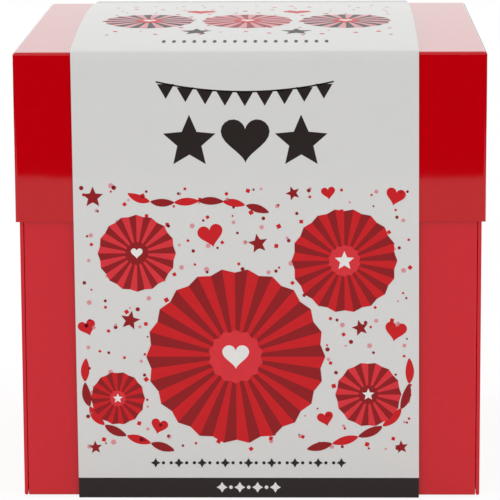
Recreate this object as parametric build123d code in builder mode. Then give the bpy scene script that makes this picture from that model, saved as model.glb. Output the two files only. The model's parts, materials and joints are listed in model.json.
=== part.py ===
from build123d import *
import math
import os

# An explosion box, shut, with its paper sleeve on, standing on a table.
# Millimetres. +Z is up and the front faces -Y. The origin is on the table, under the box's middle.

os.makedirs("parts", exist_ok=True)

# Lid: a square tray of card upside down, with its rim folded in
lid_width = 120.0
lid_depth = 43.5
lid_card = 0.4
lid_turn_in_height = 36.0
lid_slip = 0.2
lid_head_gap = 0.3

# Box: a floor and four walls that fold down from it
box_height = 116.0
board = 1.0
base_gap = 0.1
wall_side_gap = 0.15
wall_corner_radius = 2.0

# Sleeve: one printed loop round front, top, back and underside
sleeve_width = 88.0
sleeve_shift = -1.0
sleeve_card = 0.35
sleeve_floor_gap = 0.05
sleeve_face_gap = 0.15
sleeve_rise = 3.6
sleeve_fold_radius = 0.6
sleeve_flap_height = 12.0
sleeve_flap_start = 3.0

# Photo mats and card pockets on the walls' inside
mat_side_margin = 12.0
mat_top_margin = 9.9
mat_start = 13.0
mat_card = 0.3
mat_corner_radius = 3.0
pocket_height = 32.0
pocket_card = 0.3
pocket_thumb_radius = 8.0

# Half-round flaps on the side walls' upright edges
flap_radius = 27.0
flap_neck = 2.0
flap_card = 0.4
flap_gap = 0.3
flap_hinge_gap = 0.05
slit_length = 14.0
slit_width = 0.8
slit_reach = 14.0
slit_spread = 11.0

# Ribbons folded away on the side walls
tie_width = 10.0
tie_bundle_length = 30.0
tie_bundle_depth = 1.2
tie_start = 78.0

# Drawer and its housing
housing_side_gap = 5.4
housing_depth = 84.0
housing_height = 23.0
housing_card = 0.8
drawer_gap = 0.3
drawer_card = 0.8
thumb_radius = 9.0

# Insert cards in the drawer
insert_count = 6
insert_card = 0.4
insert_gap = 0.05
insert_margin = 1.5
insert_corner_radius = 2.0
square_share = 0.56

# Gift box, its lid and its bow
gift_width = 70.0
bow_headroom = 8.8
gift_card = 0.8
gift_slip = 0.3
gift_head_gap = 0.2
gift_lid_depth = 20.0
ribbon_width = 10.0
ribbon_card = 0.25
ribbon_rim_gap = 0.5
bow_width = 9.0
bow_card = 0.4
bow_loop_reach = 11.0
bow_loop_swell = 6.0
bow_loop_tilt = 20.0
bow_loop_count = 4
bow_turn = 45.0
bow_gap = 0.2
knot_radius = 5.5
knot_height = 9.0
knot_fillet = 2.0
tail_length = 24.0
tail_notch = 4.0
tail_angles = (-60.0, -120.0)

# Worked out from the values above
floor_z = sleeve_card + sleeve_floor_gap
lid_half = lid_width / 2
rim_z = box_height - lid_depth
body_half = lid_half - 2 * lid_card - lid_slip
wall_height = box_height - lid_card - lid_head_gap - floor_z
side_width = 2 * body_half
front_width = 2 * (body_half - board - wall_side_gap)
foot_radius = board / 2
deck_z = floor_z + board
pocket_face = body_half - board - mat_card - pocket_card
housing_width = 2 * (pocket_face - housing_side_gap)
mat_width = 2 * (body_half - board - mat_side_margin)
mat_height = wall_height - mat_start - mat_top_margin
up = Vector(0, 0, 1)

# Each side's direction from the wall towards the box's middle, and its wall's width
sides = {
    "front": (Vector(0, 1, 0), front_width),
    "back": (Vector(0, -1, 0), front_width),
    "left": (Vector(1, 0, 0), side_width),
    "right": (Vector(-1, 0, 0), side_width),
}


def write(part, name):
    """Label a finished piece and write it as a STEP file."""
    part.label = name
    export_step(part, f"parts/{name}.step")


def section_plane(inward):
    """A plane across a wall: local x runs inwards from its outer face, local y runs up."""
    return Plane(origin=inward * -body_half + up * floor_z, x_dir=inward, z_dir=inward.cross(up))


def face_plane(inward, depth):
    """A plane along a wall, a depth inside its outer face: local y runs up and it faces inwards."""
    origin = inward * (depth - body_half) + up * floor_z
    return Plane(origin=origin, x_dir=up.cross(inward), z_dir=inward)


# Floor of the box
with BuildPart() as base_panel:
    with BuildSketch(Plane.XY.offset(floor_z)):
        Rectangle(2 * (body_half - board - base_gap), 2 * (body_half - board - base_gap))
    extrude(amount=board)
write(base_panel.part, "base_panel")

# Four walls: each stands on a rounded foot, and turns about the foot's middle line
for side, (inward, width) in sides.items():
    with BuildPart() as wall:
        with BuildSketch(section_plane(inward)):
            with Locations((0, foot_radius)):
                Rectangle(board, wall_height - foot_radius, align=(Align.MIN, Align.MIN))
            with Locations((foot_radius, foot_radius)):
                Circle(foot_radius)
        extrude(amount=width / 2, both=True)
        corners = wall.edges().filter_by(Axis((0, 0, 0), inward)).group_by(Axis.Z)[-1]
        fillet(corners, wall_corner_radius)
    write(wall.part, f"{side}_wall")

# A square mat glued to each wall, and a pocket across the mat's foot with a thumb dip
for side, (inward, width) in sides.items():
    with BuildPart() as mat:
        with BuildSketch(face_plane(inward, board)):
            with Locations((0, mat_start + mat_height / 2)):
                RectangleRounded(mat_width, mat_height, mat_corner_radius)
        extrude(amount=mat_card)
    write(mat.part, f"{side}_mat")
    with BuildPart() as pocket:
        with BuildSketch(face_plane(inward, board + mat_card)):
            with Locations((0, mat_start + pocket_height / 2)):
                RectangleRounded(mat_width, pocket_height, mat_corner_radius)
            with Locations((0, mat_start + pocket_height)):
                Circle(pocket_thumb_radius, mode=Mode.SUBTRACT)
        extrude(amount=pocket_card)
    write(pocket.part, f"{side}_pocket")

# Half-round flaps: each has a rolled edge that is its hinge, and two slits that hold a photo
flap_hinge_x = body_half - board - flap_hinge_gap - flap_card / 2
flap_hinge_y = pocket_face - flap_gap - flap_card / 2
flap_z = floor_z + wall_height / 2
for side, x_sign in (("left", -1), ("right", 1)):
    for end, y_sign in (("front", -1), ("back", 1)):
        hinge = Vector(x_sign * flap_hinge_x, y_sign * flap_hinge_y, flap_z)
        leaf = Plane(origin=hinge, x_dir=(-x_sign, 0, 0), z_dir=(0, x_sign, 0))
        with BuildPart() as flap:
            with BuildSketch(leaf):
                with BuildLine():
                    Line((flap_neck, -flap_radius), (0, -flap_radius))
                    Line((0, -flap_radius), (0, flap_radius))
                    Line((0, flap_radius), (flap_neck, flap_radius))
                    ThreePointArc(
                        (flap_neck, flap_radius), (flap_neck + flap_radius, 0), (flap_neck, -flap_radius)
                    )
                make_face()
                with Locations((slit_reach, slit_spread), (slit_reach, -slit_spread)):
                    Rectangle(slit_length, slit_width, mode=Mode.SUBTRACT)
            extrude(amount=flap_card / 2, both=True)
            with BuildSketch(Plane.XY.offset(flap_z - flap_radius)):
                with Locations((hinge.X, hinge.Y)):
                    Circle(flap_card / 2)
            extrude(amount=2 * flap_radius)
        write(flap.part, f"{side}_{end}_flap")

# Ribbons that tie the opened walls up again, folded into a flat bundle on each side wall's mat
tie_x = body_half - board - mat_card - tie_bundle_depth / 2
for side, x_sign in (("left", -1), ("right", 1)):
    with BuildPart() as tie:
        with BuildSketch(Plane.XY.offset(floor_z + tie_start)):
            with Locations((x_sign * tie_x, 0)):
                SlotOverall(tie_bundle_length, tie_bundle_depth, rotation=90)
        extrude(amount=tie_width)
    write(tie.part, f"{side}_tie_ribbon")

# Lid: the outer ply, then the rim's four turned-in strips
with BuildPart() as lid_shell:
    with BuildSketch(Plane.XY.offset(rim_z)):
        Rectangle(lid_width, lid_width)
    extrude(amount=lid_depth)
    with BuildSketch(Plane.XY.offset(rim_z)):
        Rectangle(lid_width - 2 * lid_card, lid_width - 2 * lid_card)
    extrude(amount=lid_depth - lid_card, mode=Mode.SUBTRACT)
write(lid_shell.part, "lid_shell")

long_strip = lid_width - 2 * lid_card
short_strip = long_strip - 2 * lid_card
strip_place = lid_half - 3 * lid_card / 2
with BuildPart() as lid_turn_in:
    with BuildSketch(Plane.XY.offset(rim_z)):
        with Locations((0, strip_place), (0, -strip_place)):
            Rectangle(long_strip, lid_card)
    extrude(amount=lid_turn_in_height)
with BuildPart() as lid_side_strips:
    with BuildSketch(Plane.XY.offset(rim_z)):
        with Locations((strip_place, 0), (-strip_place, 0)):
            Rectangle(lid_card, short_strip)
    extrude(amount=lid_turn_in_height)
turned_in = Compound(children=[*lid_turn_in.part.solids(), *lid_side_strips.part.solids()])
write(turned_in, "lid_turn_in")

# Sleeve: a closed loop, bowed up over the lid, with its glued overlap inside the back
sleeve_half = lid_half + sleeve_face_gap + sleeve_card
shoulder_z = box_height + sleeve_face_gap + sleeve_card
crown_z = box_height + sleeve_rise + sleeve_card
with BuildPart() as sleeve_band:
    with BuildSketch(Plane.YZ.offset(sleeve_shift - sleeve_width / 2)) as loop:
        with BuildLine():
            Line((-sleeve_half, shoulder_z), (-sleeve_half, 0))
            Line((-sleeve_half, 0), (sleeve_half, 0))
            Line((sleeve_half, 0), (sleeve_half, shoulder_z))
            ThreePointArc((sleeve_half, shoulder_z), (0, crown_z), (-sleeve_half, shoulder_z))
        make_face()
        fillet(loop.vertices(), sleeve_fold_radius)
        offset(amount=-sleeve_card, mode=Mode.SUBTRACT)
    extrude(amount=sleeve_width)
write(sleeve_band.part, "sleeve_band")

with BuildPart() as sleeve_glue_flap:
    with BuildSketch(Plane.YZ.offset(sleeve_shift - sleeve_width / 2)):
        with Locations((sleeve_half - sleeve_card, sleeve_flap_start)):
            Rectangle(sleeve_card, sleeve_flap_height, align=(Align.MAX, Align.MIN))
    extrude(amount=sleeve_width)
write(sleeve_glue_flap.part, "sleeve_glue_flap")

# Drawer housing: a flat case, open at the front
with BuildPart() as drawer_housing:
    with BuildSketch(Plane.XY.offset(deck_z)):
        Rectangle(housing_width, housing_depth)
    extrude(amount=housing_height)
    with BuildSketch(Plane.XY.offset(deck_z + housing_card)):
        with Locations((0, -housing_card)):
            Rectangle(housing_width - 2 * housing_card, housing_depth)
    extrude(amount=housing_height - 2 * housing_card, mode=Mode.SUBTRACT)
write(drawer_housing.part, "drawer_housing")

# Drawer tray: its front is flush with the housing's mouth and has a half-moon thumb notch
tray_z = deck_z + housing_card + drawer_gap
tray_height = housing_height - 2 * housing_card - 2 * drawer_gap
tray_width = housing_width - 2 * housing_card - 2 * drawer_gap
tray_depth = housing_depth - housing_card - drawer_gap
tray_front = -housing_depth / 2
tray_middle = tray_front + tray_depth / 2
with BuildPart() as drawer_tray:
    with BuildSketch(Plane.XY.offset(tray_z)):
        with Locations((0, tray_middle)):
            Rectangle(tray_width, tray_depth)
    extrude(amount=tray_height)
    with BuildSketch(Plane.XY.offset(tray_z + drawer_card)):
        with Locations((0, tray_middle)):
            Rectangle(tray_width - 2 * drawer_card, tray_depth - 2 * drawer_card)
    extrude(amount=tray_height, mode=Mode.SUBTRACT)
    with BuildSketch(Plane.XZ.offset(-tray_front)):
        with Locations((0, tray_z + tray_height)):
            Circle(thumb_radius)
    extrude(amount=-drawer_card, mode=Mode.SUBTRACT)
write(drawer_tray.part, "drawer_tray")

# Insert cards: a pile of squares and a pile of rounds
pile_steps = [insert_gap + n * (insert_card + insert_gap) for n in range(insert_count)]
pile_z = tray_z + drawer_card
bay_width = tray_width - 2 * drawer_card
square_size = square_share * (bay_width - 3 * insert_margin)
round_radius = (1 - square_share) * (bay_width - 3 * insert_margin) / 2
square_x = -bay_width / 2 + insert_margin + square_size / 2
round_x = bay_width / 2 - insert_margin - round_radius
with BuildPart() as insert_squares:
    for step in pile_steps:
        with BuildSketch(Plane.XY.offset(pile_z + step)):
            with Locations((square_x, tray_middle)):
                RectangleRounded(square_size, square_size, insert_corner_radius)
        extrude(amount=insert_card)
write(insert_squares.part, "insert_squares")
with BuildPart() as insert_rounds:
    for step in pile_steps:
        with BuildSketch(Plane.XY.offset(pile_z + step)):
            with Locations((round_x, tray_middle)):
                Circle(round_radius)
        extrude(amount=insert_card)
write(insert_rounds.part, "insert_rounds")

# Gift box, open at the top, as tall as leaves room for its bow under the lid
tilt = math.radians(bow_loop_tilt)
loop_half_height = math.hypot(bow_loop_reach * math.sin(tilt), bow_loop_swell * math.cos(tilt))
loop_half_length = math.hypot(bow_loop_reach * math.cos(tilt), bow_loop_swell * math.sin(tilt))
bow_height = bow_card + bow_gap + 2 * loop_half_height
gift_z = deck_z + housing_height
gift_top = box_height - lid_card - bow_headroom - bow_height - ribbon_card
gift_height = gift_top - gift_z
gift_rim_z = gift_top - gift_lid_depth
gift_body_width = gift_width - 2 * (gift_card + gift_slip)
gift_body_height = gift_height - gift_card - gift_head_gap
with BuildPart() as gift_box_body:
    with BuildSketch(Plane.XY.offset(gift_z)):
        Rectangle(gift_body_width, gift_body_width)
    extrude(amount=gift_body_height)
    with BuildSketch(Plane.XY.offset(gift_z + gift_card)):
        Rectangle(gift_body_width - 2 * gift_card, gift_body_width - 2 * gift_card)
    extrude(amount=gift_body_height, mode=Mode.SUBTRACT)
write(gift_box_body.part, "gift_box_body")

# Ribbon down the gift box's four sides, up to just under its lid
side_ribbon_place = gift_body_width / 2 + ribbon_card / 2
with BuildPart() as gift_side_ribbons:
    with BuildSketch(Plane.XY.offset(gift_z)):
        with Locations((0, side_ribbon_place), (0, -side_ribbon_place)):
            Rectangle(ribbon_width, ribbon_card)
        with Locations((side_ribbon_place, 0), (-side_ribbon_place, 0)):
            Rectangle(ribbon_card, ribbon_width)
    extrude(amount=gift_rim_z - ribbon_rim_gap - gift_z)
write(gift_side_ribbons.part, "gift_side_ribbons")

# Gift box lid
with BuildPart() as gift_lid:
    with BuildSketch(Plane.XY.offset(gift_rim_z)):
        Rectangle(gift_width, gift_width)
    extrude(amount=gift_lid_depth)
    with BuildSketch(Plane.XY.offset(gift_rim_z)):
        Rectangle(gift_width - 2 * gift_card, gift_width - 2 * gift_card)
    extrude(amount=gift_lid_depth - gift_card, mode=Mode.SUBTRACT)
write(gift_lid.part, "gift_lid")

# Ribbon cross over the gift lid's top and down its skirt
with BuildPart() as gift_lid_ribbon:
    with BuildSketch(Plane.XY.offset(gift_rim_z)):
        Rectangle(gift_width + 2 * ribbon_card, ribbon_width)
        Rectangle(ribbon_width, gift_width + 2 * ribbon_card)
    extrude(amount=gift_lid_depth + ribbon_card)
    with BuildSketch(Plane.XY.offset(gift_rim_z)):
        Rectangle(gift_width, gift_width)
    extrude(amount=gift_lid_depth, mode=Mode.SUBTRACT)
write(gift_lid_ribbon.part, "gift_lid_ribbon")

# Bow: two flat tails, four upright loops round them, and the knot in the middle
bow_z = gift_top + ribbon_card
with BuildPart() as bow_tails:
    for degrees in tail_angles:
        angle = math.radians(degrees)
        outward = Vector(math.cos(angle), math.sin(angle), 0)
        with BuildSketch(Plane(origin=up * bow_z, x_dir=outward, z_dir=up)):
            with BuildLine():
                Polyline(
                    (knot_radius, -bow_width / 2),
                    (knot_radius + tail_length, -bow_width / 2),
                    (knot_radius + tail_length - tail_notch, 0),
                    (knot_radius + tail_length, bow_width / 2),
                    (knot_radius, bow_width / 2),
                    close=True,
                )
            make_face()
        extrude(amount=bow_card)
write(bow_tails.part, "bow_tails")

loop_z = bow_z + bow_card + bow_gap + loop_half_height
with BuildPart() as bow_loops:
    for n in range(bow_loop_count):
        angle = math.radians(360 * n / bow_loop_count + bow_turn)
        outward = Vector(math.cos(angle), math.sin(angle), 0)
        with BuildSketch(Plane(origin=up * loop_z, x_dir=outward, z_dir=outward.cross(up))):
            with Locations((knot_radius + loop_half_length, 0)):
                Ellipse(bow_loop_reach, bow_loop_swell, rotation=bow_loop_tilt)
                Ellipse(
                    bow_loop_reach - bow_card,
                    bow_loop_swell - bow_card,
                    rotation=bow_loop_tilt,
                    mode=Mode.SUBTRACT,
                )
        extrude(amount=bow_width / 2, both=True)
write(bow_loops.part, "bow_loops")

with BuildPart() as bow_knot:
    with BuildSketch(Plane.XY.offset(bow_z)):
        Circle(knot_radius)
    extrude(amount=knot_height)
    fillet(bow_knot.faces().sort_by(Axis.Z)[-1].edges(), knot_fillet)
write(bow_knot.part, "bow_knot")
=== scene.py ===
"""Looks of an explosion box: a glossy red card cube with a deep lid and a printed paper sleeve.

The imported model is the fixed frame. This script dresses it: each card piece gets its rolled edges
and its finish, the gift box its ribbons and bow, and the paper sleeve its generic party print. It
also sets up a plain white studio, seen from the photograph's viewpoint.
"""

import json
import logging
import math
from collections.abc import Callable, Sequence
from dataclasses import dataclass, field
from enum import Enum
from itertools import pairwise

import bmesh
import bpy
from mathutils import Matrix, Vector
from mathutils.geometry import tessellate_polygon

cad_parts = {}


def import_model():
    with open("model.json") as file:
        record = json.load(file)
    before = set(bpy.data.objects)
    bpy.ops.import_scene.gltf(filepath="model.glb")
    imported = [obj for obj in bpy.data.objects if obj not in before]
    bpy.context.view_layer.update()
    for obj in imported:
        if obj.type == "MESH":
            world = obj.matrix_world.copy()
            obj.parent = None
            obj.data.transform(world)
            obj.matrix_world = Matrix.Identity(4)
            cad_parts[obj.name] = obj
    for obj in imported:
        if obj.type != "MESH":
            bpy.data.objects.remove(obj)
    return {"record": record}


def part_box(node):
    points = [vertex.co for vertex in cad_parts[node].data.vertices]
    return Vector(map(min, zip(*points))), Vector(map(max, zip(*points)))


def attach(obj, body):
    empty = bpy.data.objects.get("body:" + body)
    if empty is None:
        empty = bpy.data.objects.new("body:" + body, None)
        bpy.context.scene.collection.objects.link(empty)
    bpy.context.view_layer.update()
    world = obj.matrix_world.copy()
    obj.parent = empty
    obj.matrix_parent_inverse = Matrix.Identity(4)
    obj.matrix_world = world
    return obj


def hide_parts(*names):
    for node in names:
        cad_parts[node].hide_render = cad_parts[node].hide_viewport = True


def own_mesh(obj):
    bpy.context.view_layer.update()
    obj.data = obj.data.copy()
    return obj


MM = 0.001
UP = Vector((0, 0, 1))
OVER_LID = 0.5 * MM
log = logging.getLogger("explosion_box")

Point2 = tuple[float, float]
Point3 = tuple[float, float, float]
BMesh = bmesh.types.BMesh
Material = bpy.types.Material
Node = bpy.types.Node
Piece = bpy.types.Object
Socket = bpy.types.NodeSocket
Tree = bpy.types.NodeTree


# Small helpers


def linear(hex_colour: str, share: float = 1.0) -> tuple[float, float, float, float]:
    """Turn an sRGB hex colour into linear RGBA.

    Args:
        hex_colour: a hash and six hex digits.
        share: how bright it is, as a share of the colour.

    Returns:
        Red, green, blue and alpha, linear, from 0 to 1.
    """
    channels = [int(hex_colour[n : n + 2], 16) / 255 for n in (1, 3, 5)]
    lit = [c / 12.92 if c <= 0.04045 else ((c + 0.055) / 1.055) ** 2.4 for c in channels]
    return (*(min(1.0, c * share) for c in lit), 1.0)


def add_node(
    tree: Tree, kind: str, inputs: dict[str | int, object] | None = None, **settings: object
) -> Node:
    """Add a node with its settings, its socket values and its links.

    Args:
        tree: the node tree that gets the node.
        kind: the node's type name.
        inputs: values for its inputs, by name or number. A socket is linked, and so is a node,
            from its first output.
        settings: properties of the node itself.

    Returns:
        The new node.
    """
    node = tree.nodes.new(kind)
    for name, value in settings.items():
        setattr(node, name, value)
    for name, value in (inputs or {}).items():
        if isinstance(value, Node | Socket):
            source = value.outputs[0] if isinstance(value, Node) else value
            tree.links.new(source, node.inputs[name])
        else:
            node.inputs[name].default_value = value
    return node


def blank_material(name: str) -> tuple[Material, Tree]:
    """Make a material with nothing in its tree.

    Args:
        name: the material's name.

    Returns:
        The material and its tree.
    """
    material = bpy.data.materials.new(name)
    material.use_nodes = True
    material.node_tree.nodes.clear()
    return material, material.node_tree


def corners(node: str) -> tuple[Vector, Vector]:
    """The lowest and highest corner of a CAD node, in metres."""
    low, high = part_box(node)
    return Vector(low), Vector(high)


def compass(degrees: float) -> Vector:
    """The level direction at an angle from +X towards +Y."""
    return Matrix.Rotation(math.radians(degrees), 3, "Z") @ Vector((1, 0, 0))


def bridge(bm: BMesh, *rings: Sequence[bmesh.types.BMVert]) -> None:
    """Join each closed ring of vertices to the next with a row of quads.

    Args:
        bm: the mesh that they are in.
        rings: the rings, all with as many vertices.
    """
    for a, b in pairwise(rings):
        for n in range(len(a)):
            m = (n + 1) % len(a)
            bm.faces.new((a[n], a[m], b[m], b[n]))


def new_object(
    name: str, bm: BMesh, material: Material | None = None, smooth_deg: float | None = None
) -> Piece:
    """Put a bmesh into the scene as an object at the origin, and free it.

    Args:
        name: the name of the object and of its mesh.
        bm: the bmesh.
        material: its material, unless Geometry Nodes set it.
        smooth_deg: faces that meet at less than this angle are shaded smooth.

    Returns:
        The new object.
    """
    mesh = bpy.data.meshes.new(name)
    bm.to_mesh(mesh)
    bm.free()
    if material:
        mesh.materials.append(material)
    if smooth_deg is not None:
        mesh.shade_smooth()
        mesh.set_sharp_from_angle(angle=math.radians(smooth_deg))
    piece = bpy.data.objects.new(name, mesh)
    bpy.context.scene.collection.objects.link(piece)
    return piece


def settle(piece: Piece) -> Piece:
    """Turn a piece with its modifiers into a plain mesh, and remove the modifiers.

    Args:
        piece: the piece.

    Returns:
        The same piece.
    """
    bpy.context.view_layer.update()
    seen = piece.evaluated_get(bpy.context.evaluated_depsgraph_get())
    plain = bpy.data.meshes.new_from_object(seen)
    old = piece.data
    piece.modifiers.clear()
    piece.data = plain
    bpy.data.meshes.remove(old)
    return piece


def stand_for(piece: Piece, node: str, body: str, slot: str) -> Piece:
    """Let a piece take a CAD node's place.

    Args:
        piece: the piece.
        node: the CAD node.
        body: the body that the piece moves with.
        slot: the record's material slot; not used.

    Returns:
        The same piece.
    """
    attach(piece, body)
    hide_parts(node)
    return piece


# Geometry Nodes


def open_group(
    name: str, given: str, *sizes: str
) -> tuple[Tree, bpy.types.bpy_prop_collection]:
    """Start a Geometry Nodes tree with its named inputs.

    Args:
        name: the tree's name.
        given: the geometry that it takes.
        sizes: the sizes that it takes.

    Returns:
        The tree, and its inputs by name.
    """
    tree = bpy.data.node_groups.new(name, "GeometryNodeTree")
    tree.interface.new_socket(given, in_out="INPUT", socket_type="NodeSocketGeometry")
    for size in sizes:
        tree.interface.new_socket(size, in_out="INPUT", socket_type="NodeSocketFloat")
    tree.interface.new_socket("Pieces", in_out="OUTPUT", socket_type="NodeSocketGeometry")
    return tree, add_node(tree, "NodeGroupInput").outputs


def close_group(tree: Tree, placed: dict[str, object], material: Material) -> Tree:
    """End a tree: an instance on each point, made real, in one material.

    Args:
        tree: the tree.
        placed: the points, the instance and how it is turned and scaled.
        material: the material.

    Returns:
        The same tree.
    """
    instances = add_node(tree, "GeometryNodeInstanceOnPoints", placed)
    real = add_node(tree, "GeometryNodeRealizeInstances", {"Geometry": instances})
    done = add_node(tree, "GeometryNodeSetMaterial", {"Geometry": real, "Material": material})
    add_node(tree, "NodeGroupOutput", {0: done})
    return tree


def grow(piece: Piece, tree: Tree, sizes: dict[str, float]) -> Piece:
    """Run a tree on a piece, and make the result its plain mesh.

    Args:
        piece: the piece.
        tree: the tree.
        sizes: a value for each of the tree's sizes.

    Returns:
        The same piece.
    """
    modifier = piece.modifiers.new(tree.name, "NODES")
    modifier.node_group = tree
    for item in tree.interface.items_tree:
        if item.name in sizes:
            modifier[item.identifier] = sizes[item.name]
    return settle(piece)


# Finishes


@dataclass(frozen=True)
class Finish:
    """What every finish shares: a colour, its darkest and lightest share, and its roughness."""

    name: str
    colour: str
    shades: Point2 = (0.93, 1.07)
    roughness: float = 0.42

    def surface(self, tree: Tree, place: Socket) -> tuple[Node, dict[str, object]]:
        """Add the finish's own nodes: what mottles it, and the shader's other inputs."""
        raise NotImplementedError

    def material(self) -> Material:
        """Build the material.

        Returns:
            The material.
        """
        material, tree = blank_material(self.name)
        place = add_node(tree, "ShaderNodeTexCoord").outputs["Object"]
        mottle, inputs = self.surface(tree, place)
        dark, light = (linear(self.colour, share) for share in self.shades)
        tint = add_node(tree, "ShaderNodeMix", {0: mottle, 6: dark, 7: light}, data_type="RGBA")
        inputs |= {"Base Color": tint.outputs[2], "Roughness": self.roughness}
        shader = add_node(tree, "ShaderNodeBsdfPrincipled", inputs)
        add_node(tree, "ShaderNodeOutputMaterial", {"Surface": shader})
        return material


@dataclass(frozen=True)
class LaminatedCard(Finish):
    """Greyboard wrapped in printed paper under a pressed-on gloss laminate.

    The eye sees one deep red under a clear skin, which mirrors the room and wavers a little.
    """

    shades: Point2 = (0.95, 1.05)
    roughness: float = 0.12
    fibre_mm: float = 1.6
    specular: float = 0.003
    skin_roughness: float = 0.035
    skin_ior: float = 1.42
    ripple_mm: float = 7.0
    ripple_height_mm: float = 0.012

    def surface(self, tree: Tree, place: Socket) -> tuple[Node, dict[str, object]]:
        """Mottle the red by the paper's fibre, and pull the skin into long shallow ripples.

        Args:
            tree: the material's tree.
            place: the object's coordinates, in metres.

        Returns:
            The mottle, and the shader's other inputs.
        """
        grain = {"Vector": place, "Scale": 1 / (self.fibre_mm * MM), "Detail": 4.0}
        fibre = add_node(tree, "ShaderNodeTexNoise", grain)
        grain = {"Vector": place, "Scale": 1 / (self.ripple_mm * MM), "Detail": 1.0}
        ripple = add_node(tree, "ShaderNodeTexNoise", grain)
        relief = {"Height": ripple, "Distance": self.ripple_height_mm * MM, "Strength": 0.6}
        bump = add_node(tree, "ShaderNodeBump", relief)
        return fibre, {
            "Specular IOR Level": self.specular,
            "Coat Weight": 1.0,
            "Coat Roughness": self.skin_roughness,
            "Coat IOR": self.skin_ior,
            "Normal": bump,
            "Coat Normal": bump,
        }


@dataclass(frozen=True)
class PlainCard(Finish):
    """Uncoated or lightly pressed card: the eye sees a soft tooth of fibre and little shine."""

    roughness: float = 0.62
    fibre_mm: float = 0.45
    drift_mm: float = 6.3
    tooth_mm: float = 0.02
    coat: float = 0.0

    def surface(self, tree: Tree, place: Socket) -> tuple[Node, dict[str, object]]:
        """Put fine fibre, gathered in drifts, in the colour and in the relief.

        Args:
            tree: the material's tree.
            place: the object's coordinates, in metres.

        Returns:
            The mottle, and the shader's other inputs.
        """
        grain = {"Vector": place, "Scale": 1 / (self.fibre_mm * MM), "Detail": 5.0}
        fibre = add_node(tree, "ShaderNodeTexNoise", grain)
        grain = {"Vector": place, "Scale": 1 / (self.drift_mm * MM), "Detail": 2.0}
        drift = add_node(tree, "ShaderNodeTexNoise", grain)
        both = add_node(tree, "ShaderNodeMath", {0: fibre, 1: drift}, operation="MULTIPLY")
        reach = {"Value": both, "From Min": 0.1, "From Max": 0.42}
        mottle = add_node(tree, "ShaderNodeMapRange", reach)
        relief = {"Height": fibre, "Distance": self.tooth_mm * MM, "Strength": 0.5}
        bump = add_node(tree, "ShaderNodeBump", relief)
        return mottle, {"Coat Weight": self.coat, "Coat Roughness": 0.08, "Normal": bump}


@dataclass(frozen=True)
class SatinRibbon(Finish):
    """Woven polyester satin: the eye sees fine ribs and a soft long highlight.

    The real ribs are about 0.2 mm apart, too fine to show, so they are drawn at 0.5 mm.
    """

    shades: Point2 = (0.82, 1.12)
    roughness: float = 0.34
    rib_mm: float = 0.5
    slub_mm: float = 2.0

    def surface(self, tree: Tree, place: Socket) -> tuple[Node, dict[str, object]]:
        """Put ribs in the relief and slubs in the colour, with a little sheen.

        Args:
            tree: the material's tree.
            place: the object's coordinates, in metres.

        Returns:
            The mottle, and the shader's other inputs.
        """
        grain = {"Vector": place, "Scale": 1 / (self.slub_mm * MM), "Detail": 3.0}
        slub = add_node(tree, "ShaderNodeTexNoise", grain)
        weave = {"Vector": place, "Scale": 0.31 / (self.rib_mm * MM), "Distortion": 0.6}
        bands = {"wave_type": "BANDS", "bands_direction": "DIAGONAL"}
        ribs = add_node(tree, "ShaderNodeTexWave", weave, **bands).outputs["Fac"]
        relief = {"Height": ribs, "Distance": 0.02 * MM, "Strength": 0.5}
        bump = add_node(tree, "ShaderNodeBump", relief)
        return slub, {"Sheen Weight": 0.08, "Sheen Roughness": 0.4, "Normal": bump}


@dataclass(frozen=True)
class PrintInk(Finish):
    """Offset ink on coated paper: the eye sees flat colour with a faint gloss."""

    mottle_mm: float = 2.5

    def surface(self, tree: Tree, place: Socket) -> tuple[Node, dict[str, object]]:
        """Let the ink dry a little unevenly.

        Args:
            tree: the material's tree.
            place: the object's coordinates, in metres.

        Returns:
            The mottle, and the shader's other inputs.
        """
        grain = {"Vector": place, "Scale": 1 / (self.mottle_mm * MM), "Detail": 3.0}
        uneven = add_node(tree, "ShaderNodeTexNoise", grain)
        return uneven, {"Specular IOR Level": 0.2, "Coat Weight": 0.12, "Coat Roughness": 0.12}


FINISHES: dict[str, Finish] = {
    # the lid's laminated wrap: the deepest red, with the clearest mirror
    "lid_card": LaminatedCard("gloss_laminated_lid_card", "#CC000E"),
    # the walls' and flaps' laminated board: brighter, and flatter than the folded lid
    "box_card": LaminatedCard("gloss_laminated_box_board", "#D9041C", ripple_height_mm=0.006),
    # the mats' uncoated card: dark and dull, so that it frames a photo
    "mat_card": PlainCard("matt_red_photo_mat", "#A3101A"),
    # the drawer's pressed card: smoother than the mats, still without a mirror
    "drawer_card": PlainCard("pressed_red_drawer_card", "#B90E18", roughness=0.5),
    # the gift box's calendered card: a silky sheen on the lid's top
    "gift_card": PlainCard("satin_red_gift_card", "#C70F19", roughness=0.42, coat=0.2),
    # the loose cards' uncoated stock, which shows its fibre
    "insert_white": PlainCard("ivory_insert_card", "#E9E4D8"),
    "insert_red": PlainCard("red_insert_card", "#B4131D"),
    # the ribbons' woven satin: a soft highlight that runs along each curve
    "satin_ribbon": SatinRibbon("red_satin_ribbon", "#B20A19"),
    # the sleeve's coated paper: almost white and smooth, with a dull gloss
    "sleeve_print": PlainCard(
        "coated_white_sleeve_paper", "#E3E3E1", (0.988, 1.012), 0.45, tooth_mm=0.006, coat=0.3
    ),
}


# Card pieces


@dataclass(frozen=True)
class Roll:
    """How far a card piece's edges are rolled, at its folds and at its thin cut edges."""

    fold_mm: float = 0.1
    cut_mm: float = 0.1
    wider_mm: float = 0.0


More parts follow.
